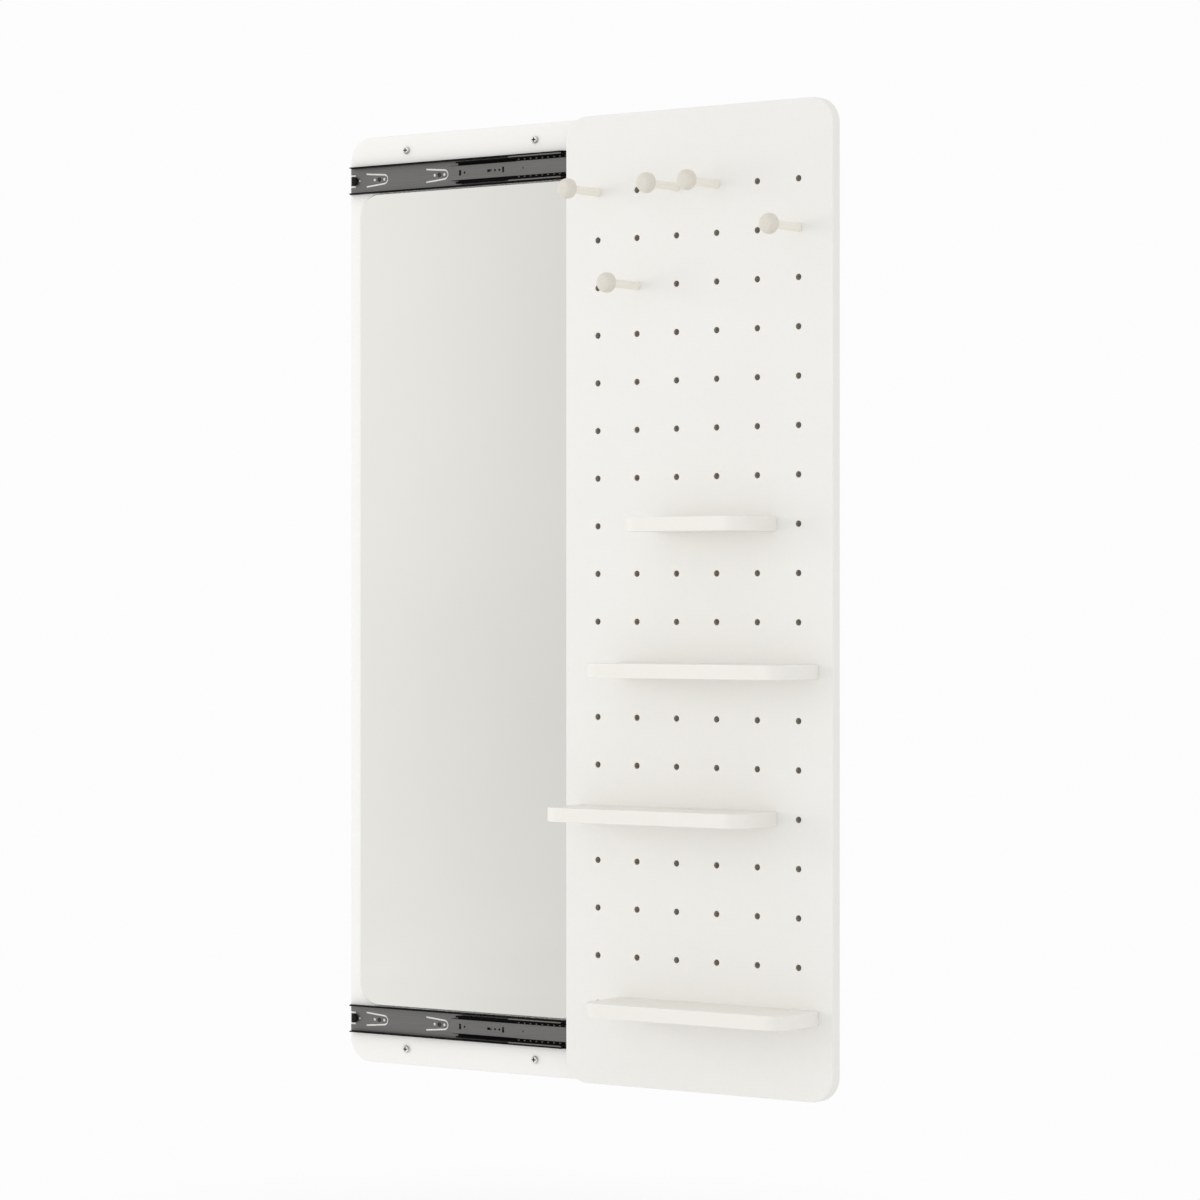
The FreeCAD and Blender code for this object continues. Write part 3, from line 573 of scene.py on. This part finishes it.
lacquer_material("back_board", WARM_WHITE, RUBBED_AND_HIGHLIT_WHITE, gloss=0.42)
lacquer_material("pegboard_panel", PANEL_WHITE, RUBBED_AND_HIGHLIT_WHITE, gloss=0.42, drilled=True)
for shelf in SHELVES:
    lacquer_material(f"{shelf}_board", SHELF_WHITE, RUBBED_AND_HIGHLIT_WHITE, gloss=0.48)
print("lacquered", 2 + len(SHELVES), "pieces")

# %% [markdown]
# ## Pegs and dowels
# The pegs are turned wood under a thin matt coat that is warmer than the panel. A thin coat lets a little of
# the grain through, so the streaks run along each peg, change its tone slightly and stand up a few hundredths
# of a millimetre. A mask along the peg gives its head a darker tone than its shank, and that darker head is
# painted shade. The shelf dowels are bare beech with the same grain in stronger contrast.

# %% Finish the pegs and dowels
PEGS = ("peg_one", "peg_two", "peg_three", "peg_four", "peg_five")
PEG_HEAD_LENGTH = 0.017
NECK_FADE = 0.002
PEG_PALE = (0.905, 0.87, 0.79, 1)
PEG_DARK_GRAIN_AND_HEAD_SHADE = (0.64, 0.60, 0.525, 1)
BEECH_PALE = (0.66, 0.50, 0.33, 1)
BEECH_DARK = (0.46, 0.31, 0.18, 1)
GRAIN_STRETCH = (260, 9, 260)
GRAIN_DULLING = 0.12
GRAIN_DEPTH = 0.00006


def wood_material(name, pale, dark, contrast, roughness, head_end, head_shade_share):
    """Turned wood with its grain along Y; its head goes a share of the way to the dark tone as painted shade.
    """
    material, tree, inputs = new_material(name, IOR=1.48, Specular_IOR_Level=0.4)
    grain = use_group(tree, streak_group, Stretch=GRAIN_STRETCH)
    along = add(tree, "ShaderNodeSeparateXYZ", {0: surface_point(tree)}).outputs["Y"]
    # painted shade: the mask darkens the head and leaves the shank pale
    head = remap(tree, along, head_end, head_end + NECK_FADE, head_shade_share, 0.0)
    share = calc(tree, "MULTIPLY_ADD", grain["Streak"], contrast, head)
    tree.links.new(mix_colours(tree, share, pale, dark), inputs["Base Color"])
    dulled = calc(tree, "MULTIPLY_ADD", grain["Streak"], GRAIN_DULLING, roughness)
    tree.links.new(dulled, inputs["Roughness"])
    add_bump(tree, inputs, grain["Height"], GRAIN_DEPTH)
    return material


peg_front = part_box("peg_one")[0].y
peg_coat = wood_material("peg_coat", PEG_PALE, PEG_DARK_GRAIN_AND_HEAD_SHADE, contrast=0.12, roughness=0.44,
                         head_end=peg_front + PEG_HEAD_LENGTH, head_shade_share=0.62)
bare_beech = wood_material("bare_beech", BEECH_PALE, BEECH_DARK, contrast=0.8, roughness=0.6,
                           head_end=peg_front, head_shade_share=0.0)
for peg in PEGS:
    paint(peg, peg_coat)
for shelf in SHELVES:
    paint(f"{shelf}_dowels", bare_beech)
print("finished", len(PEGS), "pegs and the dowels of", len(SHELVES), "shelves")

# %% [markdown]
# ## Slides
# The slide members are rolled steel under a dark coat. In the photograph the flat web of each member reads
# as brushed dark grey and the bent flanges and lips as black. Both come from one material: a mask that knows
# how far a point is from the slide's middle line turns the web into bare-looking metal and leaves the rest
# black. The whole member wears one coat, so the black of the flanges and lips is painted shade. Each member
# has its own web height, so the mask is a group with that height as an input. The inner ball cage, which lies
# in the middle member's web, has the same two zones.

# %% Make the slide zone group
ZONE_BLUR = 0.0002


def make_zone_group():
    group, entry, ending = new_group(
        "web_and_flange", {"Slide Height": "Float", "Web Half": "Float"}, {"Web": "Float"}
    )
    up = add(group, "ShaderNodeSeparateXYZ", {0: surface_point(group)}).outputs["Z"]
    above = calc(group, "SUBTRACT", calc(group, "ABSOLUTE", up), entry["Slide Height"])
    reach = calc(group, "SUBTRACT", calc(group, "ABSOLUTE", above), entry["Web Half"])
    group.links.new(remap(group, reach, -ZONE_BLUR, ZONE_BLUR, 1.0, 0.0), ending["Web"])
    return group


zone_group = make_zone_group()
print("group", zone_group.name)

# %% Coat the slide members
OUTER_EDGE = 0.0021
MIDDLE_EDGE = 0.0063
CAGE_EDGE = 0.0031
INNER_EDGE = 0.0012
WEB_DARK = (0.185, 0.185, 0.187, 1)
WEB_PALE = (0.230, 0.230, 0.233, 1)
WEB_METAL = 0.9
FLANGE_PAINTED_SHADE = (0.003, 0.003, 0.0033, 1)
ROLLED_STRETCH = (14, 900, 900)
ROLLED_ROUGHNESS = 0.34
ROLLED_DULLING = 0.16
ROLLED_DEPTH = 0.00004


def slide_material(name, node_name, edge):
    """Dark coat on one kind of slide member, its web lighter than the flanges, which take up a given edge and
    are painted black as shade.
    """
    material, tree, inputs = new_material(name, IOR=1.45, Specular_IOR_Level=0.04)
    low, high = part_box(node_name)
    middle = abs(low.z + high.z) / 2
    zones = use_group(tree, zone_group, Slide_Height=middle, Web_Half=(high.z - low.z) / 2 - edge)
    rolled = use_group(tree, streak_group, Stretch=ROLLED_STRETCH)
    web = mix_colours(tree, rolled["Streak"], WEB_DARK, WEB_PALE)
    # painted shade: the flanges and lips are made black, and the web keeps the grey metal
    tree.links.new(mix_colours(tree, zones["Web"], FLANGE_PAINTED_SHADE, web), inputs["Base Color"])
    tree.links.new(calc(tree, "MULTIPLY", zones["Web"], WEB_METAL), inputs["Metallic"])
    dulled = calc(tree, "MULTIPLY_ADD", rolled["Streak"], ROLLED_DULLING, ROLLED_ROUGHNESS)
    tree.links.new(dulled, inputs["Roughness"])
    add_bump(tree, inputs, rolled["Height"], ROLLED_DEPTH)
    return material


outer_coat = slide_material("outer_member_coat", "top_outer_member", OUTER_EDGE)
middle_coat = slide_material("middle_member_coat", "top_middle_member", MIDDLE_EDGE)
cage_coat = slide_material("inner_cage_coat", "top_inner_cage", CAGE_EDGE)
inner_coat = slide_material("inner_member_coat", "top_inner_member", INNER_EDGE)
for side in ("top", "bottom"):
    paint(f"{side}_outer_member", outer_coat)
    paint(f"{side}_middle_member", middle_coat)
    paint(f"{side}_inner_cage", cage_coat)
    paint(f"{side}_inner_member", inner_coat)
print("coated 6 slide members and 2 cages")

# %% [markdown]
# The balls are steel, darkened as painted shade, since they sit deep in the channel. The outer cages, whose
# lips show as a pale strip between the black ones, are plain zinc-plated strip. The bumpers at the closed end
# are moulded rubber with a fine dull grain, and the screws that hold the slides are dark like the web that
# they sit on.

# %% Finish the balls, cages, bumpers and slide screws
RUBBER_DARK = (0.004, 0.004, 0.004, 1)
RUBBER_PALE = (0.010, 0.010, 0.010, 1)
RUBBER_SCALE = 1400.0
RUBBER_DEPTH = 0.0001
RUBBER_SMOOTH = 0.6
RUBBER_ROUGH = 0.8


def small_metal(name, pale, dark, roughness, metallic, specular):
    """Plated or polished metal with fine scratches in its tone and gloss."""
    material, tree, inputs = new_material(name, Metallic=metallic, IOR=1.45, Specular_IOR_Level=specular)
    scratch = use_group(tree, scratch_group, Scale=SCRATCH_SCALE)["Scratch"]
    tree.links.new(mix_colours(tree, scratch, pale, dark), inputs["Base Color"])
    dulled = calc(tree, "MULTIPLY_ADD", scratch, SCRATCH_DULLING, roughness)
    tree.links.new(dulled, inputs["Roughness"])
    add_bump(tree, inputs, scratch, SCRATCH_DEPTH)
    return material


def rubber_material():
    material, tree, inputs = new_material("bumper_rubber", IOR=1.45, Specular_IOR_Level=0.2)
    grain = noise(tree, surface_point(tree), RUBBER_SCALE, detail=3.0, roughness=0.6)
    tree.links.new(mix_colours(tree, grain, RUBBER_DARK, RUBBER_PALE), inputs["Base Color"])
    tree.links.new(spread(tree, grain, RUBBER_SMOOTH, RUBBER_ROUGH), inputs["Roughness"])
    add_bump(tree, inputs, grain, RUBBER_DEPTH)
    return material


# painted shade: the balls' steel is darkened for the shade deep in the channel
ball_steel = small_metal("ball_steel", pale=(0.19, 0.185, 0.18, 1), dark=(0.13, 0.127, 0.122, 1),
                         roughness=0.22, metallic=1.0, specular=0.3)
cage_zinc = small_metal("cage_zinc", pale=(0.28, 0.268, 0.25, 1), dark=(0.21, 0.20, 0.187, 1),
                        roughness=0.38, metallic=1.0, specular=0.3)
dark_zinc_and_recess_shade = small_metal("dark_zinc_and_recess_shade", pale=(0.10, 0.10, 0.10, 1), dark=(0.055, 0.055, 0.055, 1),
                        roughness=0.36, metallic=0.9, specular=0.2)
bumper_rubber = rubber_material()
for side in ("top", "bottom"):
    paint(f"{side}_outer_cage", cage_zinc)
    for ring in ("outer", "inner"):
        paint(f"{side}_{ring}_balls", ball_steel)
paint("slide_bumpers", bumper_rubber)
paint("outer_member_screws", dark_zinc_and_recess_shade)
paint("inner_member_screws", dark_zinc_and_recess_shade)
print("finished the small slide parts")

# %% [markdown]
# ## Mirror
# The mirror is 4 mm glass with silver on its rear face. Its edge is ground: a narrow slope, the arris, takes
# off the sharp corner all round and catches the light as a thin line. The CAD plate has a plain square edge,
# so a finer sheet stands for it here. It is a stack of rounded outlines, each a little smaller or farther
# forward than the last, and its front, edge and rear have materials of their own.

# %% Define helpers for stacked outlines
CORNER_STEPS = 16


def rounded_outline(half_wide, half_high, radius):
    """Points round a rectangle with round corners, in X and Z."""
    points = []
    for quarter in range(4):
        right = 1 if quarter in (0, 3) else -1
        top = 1 if quarter in (0, 1) else -1
        for step in range(CORNER_STEPS + 1):
            turn = math.radians(90) * (quarter + step / CORNER_STEPS)
            across = right * (half_wide - radius) + radius * math.cos(turn)
            up = top * (half_high - radius) + radius * math.sin(turn)
            points.append((across, up))
    return points


def stack_rings(shape, rings):
    """Join rings of points, each as many as the last, into a skin, close its ends and return its sides."""
    loops = [[shape.verts.new(point) for point in ring] for ring in rings]
    faces = []
    for near, far in zip(loops, loops[1:]):
        for i in range(len(near)):
            j = (i + 1) % len(near)
            faces.append(shape.faces.new((near[i], near[j], far[j], far[i])))
    shape.faces.new(list(reversed(loops[0])))
    shape.faces.new(loops[-1])
    return faces


print("outline helpers are ready")

# %% Build the mirror sheet
ARRIS = 0.0011
REAR_ARRIS = 0.0004
MIRROR_CORNER = 0.038
FACING_FRONT = -0.99
FRONT_SLOT, EDGE_SLOT, REAR_SLOT = range(3)


def build_mirror():
    low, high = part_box("mirror_glass")
    half_wide = (high.x - low.x) / 2
    half_high = (high.z - low.z) / 2
    layers = [
        (REAR_ARRIS, high.y),
        (0, high.y - REAR_ARRIS),
        (0, low.y + ARRIS),
        (ARRIS, low.y),
    ]
    rings = []
    for inset, forward in layers:
        outline = rounded_outline(half_wide - inset, half_high - inset, MIRROR_CORNER - inset)
        rings.append([(across, forward, up) for across, up in outline])
    shape = bmesh.new()
    edge_faces = stack_rings(shape, rings)
    bmesh.ops.recalc_face_normals(shape, faces=shape.faces)
    for face in shape.faces:
        face.material_index = FRONT_SLOT if face.normal.y < FACING_FRONT else REAR_SLOT
    for face in edge_faces:
        face.material_index = EDGE_SLOT
    mesh = bpy.data.meshes.new("mirror_sheet")
    shape.to_mesh(mesh)
    shape.free()
    return add_object("mirror_sheet", mesh)


mirror_sheet = build_mirror()
print("mirror sheet with", len(mirror_sheet.data.polygons), "faces")

# %% [markdown]
# Silver behind clear glass is a metal with almost no roughness. What little it has is uneven, from wiping.
# The ground edge is pale green, because there the light crosses the whole sheet of glass, and the rear has
# the grey paint that keeps damp from the silver.

# %% Finish the mirror sheet
SILVER_CLEAN = (0.935, 0.94, 0.935, 1)
SILVER_WIPED = (0.925, 0.93, 0.925, 1)
SILVER_ROUGHNESS = 0.004
WIPE_SCALE = 5.0
WIPE_LOW = 0.35
WIPE_HIGH = 0.75
WIPE_DULLING = 0.012
EDGE_PALE = (0.66, 0.73, 0.69, 1)
EDGE_GREEN = (0.56, 0.65, 0.60, 1)
GROUND_STRETCH = (40, 1800, 40)
GROUND_ROUGHNESS = 0.12
GROUND_DULLING = 0.15
REAR_GREY = (0.20, 0.22, 0.23, 1)
REAR_DEPTH = 0.00006


def silver_material():
    material, tree, inputs = new_material("silvered_face", Metallic=1.0)
    wiping = noise(tree, surface_point(tree), WIPE_SCALE, detail=4.0, roughness=0.6)
    wiped = remap(tree, wiping, WIPE_LOW, WIPE_HIGH, 0.0, 1.0)
    tree.links.new(mix_colours(tree, wiped, SILVER_CLEAN, SILVER_WIPED), inputs["Base Color"])
    dulled = calc(tree, "MULTIPLY_ADD", wiped, WIPE_DULLING, SILVER_ROUGHNESS)
    tree.links.new(dulled, inputs["Roughness"])
    return material


def ground_glass_material():
    material, tree, inputs = new_material("ground_glass_edge", IOR=1.52, Coat_Weight=0.4)
    ground = use_group(tree, streak_group, Stretch=GROUND_STRETCH)
    tree.links.new(mix_colours(tree, ground["Streak"], EDGE_PALE, EDGE_GREEN), inputs["Base Color"])
    dulled = calc(tree, "MULTIPLY_ADD", ground["Streak"], GROUND_DULLING, GROUND_ROUGHNESS)
    tree.links.new(dulled, inputs["Roughness"])
    return material


def rear_paint_material():
    material, tree, inputs = new_material("rear_paint", IOR=1.5)
    skin = use_group(tree, lacquer_group, Tone=REAR_GREY, Mottle=0.03, Gloss_Level=0.5, Peel_Size=0.002)
    tree.links.new(skin["Colour"], inputs["Base Color"])
    tree.links.new(skin["Roughness"], inputs["Roughness"])
    add_bump(tree, inputs, skin["Height"], REAR_DEPTH)
    return material


for material in (silver_material(), ground_glass_material(), rear_paint_material()):
    mirror_sheet.data.materials.append(material)
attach(mirror_sheet, "wall_unit")
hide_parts("mirror_glass")
print("mirror materials:", [material.name for material in mirror_sheet.data.materials])

# %% [markdown]
# ## Foam tape behind the mirror
# Three strips of white foam tape hold the mirror. They can be seen only by looking into the thin gap along
# its edge, as rows of open bubbles, so a dark cell pattern on a pale ground is enough.

# %% Finish the tape
FOAM_DARK = (0.66, 0.66, 0.63, 1)
FOAM_PALE = (0.78, 0.78, 0.75, 1)
BUBBLE_SCALE = 1500.0
BUBBLE_DEPTH = 0.0002
BUBBLE_REACH = 0.8
FOAM_ROUGH = 0.95
FOAM_SMOOTH = 0.75


def foam_material():
    material, tree, inputs = new_material("foam_tape", IOR=1.4, Specular_IOR_Level=0.2)
    bubbles = {"Vector": surface_point(tree), "Scale": BUBBLE_SCALE}
    cells = add(tree, "ShaderNodeTexVoronoi", bubbles).outputs["Distance"]
    tree.links.new(mix_colours(tree, cells, FOAM_DARK, FOAM_PALE), inputs["Base Color"])
    tree.links.new(remap(tree, cells, 0.0, BUBBLE_REACH, FOAM_ROUGH, FOAM_SMOOTH), inputs["Roughness"])
    add_bump(tree, inputs, cells, BUBBLE_DEPTH)
    return material


paint("mirror_tape", foam_material())
print("finished the tape")

# %% [markdown]
# ## Wall screws
# Four zinc-plated pan head screws hold the board. Their domed heads with a cross recess show in front, and
# their threads stand out behind the board, where the wall would be. A thread could be a bump texture, but
# from behind it is seen in outline, so it is modelled: each ring of a turned shape has a radius that depends
# on the angle as well as the height, and the ridge climbs one pitch for each turn.

# %% Define the screw's shape
NECK_RADIUS = 0.0025
CORE_RADIUS = 0.0016
CREST_RADIUS = 0.00225
THREAD_PITCH = 0.0018
RINGS_PER_PITCH = 8
SCREW_SEGMENTS = 32
RIDGE_SHARPNESS = 3.2
TIP_LENGTH = 0.005
TIP_SHARE = 0.12
SCREW_HEAD_RADIUS = 0.0062
SCREW_HEAD_HEIGHT = 0.0050
DOME_STEPS = 8
DOME_FULLNESS = 0.55
DOME_FLATNESS = 0.9


def turned_ring(centre, along, radius_at):
    """One ring round an axis along Y, with a radius for each angle."""
    points = []
    for i in range(SCREW_SEGMENTS):
        turn = 2 * math.pi * i / SCREW_SEGMENTS
        radius = radius_at(turn)
        points.append((centre.x + radius * math.cos(turn), along, centre.z + radius * math.sin(turn)))
    return points


def thread_radius(turn, travelled, remaining):
    """Radius of the thread at an angle, after some length and with some length left to the tip."""
    phase = (travelled / THREAD_PITCH - turn / (2 * math.pi)) % 1.0
    ridge = max(0.0, 1.0 - abs(phase - 0.5) * RIDGE_SHARPNESS)
    radius = CORE_RADIUS + (CREST_RADIUS - CORE_RADIUS) * ridge
    return radius * min(1.0, TIP_SHARE + remaining / TIP_LENGTH)


def screw_rings(centre, seat, wall, end):
    """Rings from the top of the head, through the neck in the board, to the tip in the wall."""
    rings = []
    for step in range(1, DOME_STEPS + 1):
        turn = math.radians(90) * step / DOME_STEPS
        radius = SCREW_HEAD_RADIUS * math.sin(turn) ** DOME_FULLNESS
        along = seat - SCREW_HEAD_HEIGHT * math.cos(turn) ** DOME_FLATNESS
        rings.append(turned_ring(centre, along, lambda angle, r=radius: r))
    rings.append(turned_ring(centre, seat, lambda angle: NECK_RADIUS))
    rings.append(turned_ring(centre, wall, lambda angle: NECK_RADIUS))
    count = round((end - wall) / THREAD_PITCH * RINGS_PER_PITCH)
    for step in range(count + 1):
        travelled = (end - wall) * step / count
        remaining = end - wall - travelled
        rings.append(turned_ring(
            centre, wall + travelled, lambda angle, t=travelled, r=remaining: thread_radius(angle, t, r)))
    return rings


print("thread ridges stand up", round(CREST_RADIUS - CORE_RADIUS, 5), "m")

# %% [markdown]
# The cross recess is cut from the four heads at once. A cutter in the shape of a plus sign that narrows
# towards its bottom is taken away with a Boolean modifier, and its result becomes the screws' own mesh. The
# cutter carries the dark zinc finish, which paints shade into the recess, and the modifier hands it to the
# faces it cuts.

# %% Define the cross recess
RECESS_LENGTH = 0.0076
RECESS_WIDTH = 0.0020
RECESS_DEPTH = 0.0026
RECESS_BOTTOM = 0.45
CUTTER_RISE = 0.0005
CUTTER_FLARE = 1.2


def cross_ring(centre, along, scale):
    """Corners of a plus sign at one depth of the recess."""
    arm = RECESS_LENGTH / 2 * scale
    side = RECESS_WIDTH / 2 * scale
    corners = [
        (arm, -side), (arm, side), (side, side), (side, arm), (-side, arm), (-side, side),
        (-arm, side), (-arm, -side), (-side, -side), (-side, -arm), (side, -arm), (side, -side),
    ]
    return [(centre.x + across, along, centre.z + up) for across, up in corners]


def cut_away(piece, cutter):
    """Take the cutter's shape out of the piece and remove the cutter."""
    modifier = piece.modifiers.new("cut", "BOOLEAN")
    modifier.operation = "DIFFERENCE"
    modifier.solver = "EXACT"
    modifier.material_mode = "TRANSFER"
    modifier.object = cutter
    cut = bpy.data.meshes.new_from_object(piece.evaluated_get(bpy.context.evaluated_depsgraph_get()))
    piece.modifiers.remove(modifier)
    piece.data = cut
    bpy.data.objects.remove(cutter)


print("recess", RECESS_DEPTH, "m deep")

# %% [markdown]
# The face of each head is made bright and its side grey by the way that the surface faces: painted light on
# the face and painted shade on the side.

# %% Make the screws' zinc
SHADED_SIDE_PALE = (0.60, 0.60, 0.59, 1)
SHADED_SIDE_DARK = (0.50, 0.50, 0.49, 1)
LIT_FACE_PALE = (0.96, 0.96, 0.95, 1)
LIT_FACE_DARK = (0.88, 0.88, 0.87, 1)
ZINC_ROUGHNESS = 0.26
LIT_FACE_FROM = 0.45
LIT_FACE_FULLY = 0.85


def screw_zinc_material():
    """Zinc that is bright where it faces along the screw and grey at its sides, as painted light and shade.
    """
    material, tree, inputs = new_material("bright_zinc", Metallic=1.0)
    scratch = use_group(tree, scratch_group, Scale=SCRATCH_SCALE)["Scratch"]
    facing = add(tree, "ShaderNodeTexCoord").outputs["Normal"]
    forwards = calc(tree, "ABSOLUTE", add(tree, "ShaderNodeSeparateXYZ", {0: facing}).outputs["Y"])
    # painted light and shade: the face turned forwards is made bright, and the side grey
    lit_face_share = remap(tree, forwards, LIT_FACE_FROM, LIT_FACE_FULLY, 0.0, 1.0)
    pale = mix_colours(tree, lit_face_share, SHADED_SIDE_PALE, LIT_FACE_PALE)
    dark = mix_colours(tree, lit_face_share, SHADED_SIDE_DARK, LIT_FACE_DARK)
    tree.links.new(mix_colours(tree, scratch, pale, dark), inputs["Base Color"])
    dulled = calc(tree, "MULTIPLY_ADD", scratch, SCRATCH_DULLING, ZINC_ROUGHNESS)
    tree.links.new(dulled, inputs["Roughness"])
    add_bump(tree, inputs, scratch, SCRATCH_DEPTH)
    return material


screw_zinc = screw_zinc_material()
print("material", screw_zinc.name)

# %% Build the wall screws
SHARP_ANGLE = math.radians(35)


def mesh_object(name, shape):
    bmesh.ops.recalc_face_normals(shape, faces=shape.faces)
    mesh = bpy.data.meshes.new(name)
    shape.to_mesh(mesh)
    shape.free()
    return add_object(name, mesh)


def build_wall_screws():
    low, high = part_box("wall_screws")
    seat, wall = (corner.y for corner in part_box("back_board"))
    top = seat - SCREW_HEAD_HEIGHT
    screws = bmesh.new()
    recesses = bmesh.new()
    for across in (low.x + SCREW_HEAD_RADIUS, high.x - SCREW_HEAD_RADIUS):
        for up in (low.z + SCREW_HEAD_RADIUS, high.z - SCREW_HEAD_RADIUS):
            centre = Vector((across, 0, up))
            stack_rings(screws, screw_rings(centre, seat, wall, high.y))
            stack_rings(recesses, [
                cross_ring(centre, top - CUTTER_RISE, CUTTER_FLARE),
                cross_ring(centre, top + RECESS_DEPTH, RECESS_BOTTOM),
            ])
    piece = mesh_object("wall_screw_set", screws)
    piece.data.materials.append(screw_zinc)
    cutter = mesh_object("recess_cutter", recesses)
    # painted shade: the cut recess walls take the dark zinc, darker than the head
    cutter.data.materials.append(dark_zinc_and_recess_shade)
    cut_away(piece, cutter)
    return piece


wall_screw_set = build_wall_screws()
wall_screw_set.data.shade_smooth()
wall_screw_set.data.set_sharp_from_angle(angle=SHARP_ANGLE)
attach(wall_screw_set, "wall_unit")
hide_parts("wall_screws")
print("wall screws with", len(wall_screw_set.data.polygons), "faces and materials",
      [material.name for material in wall_screw_set.data.materials])
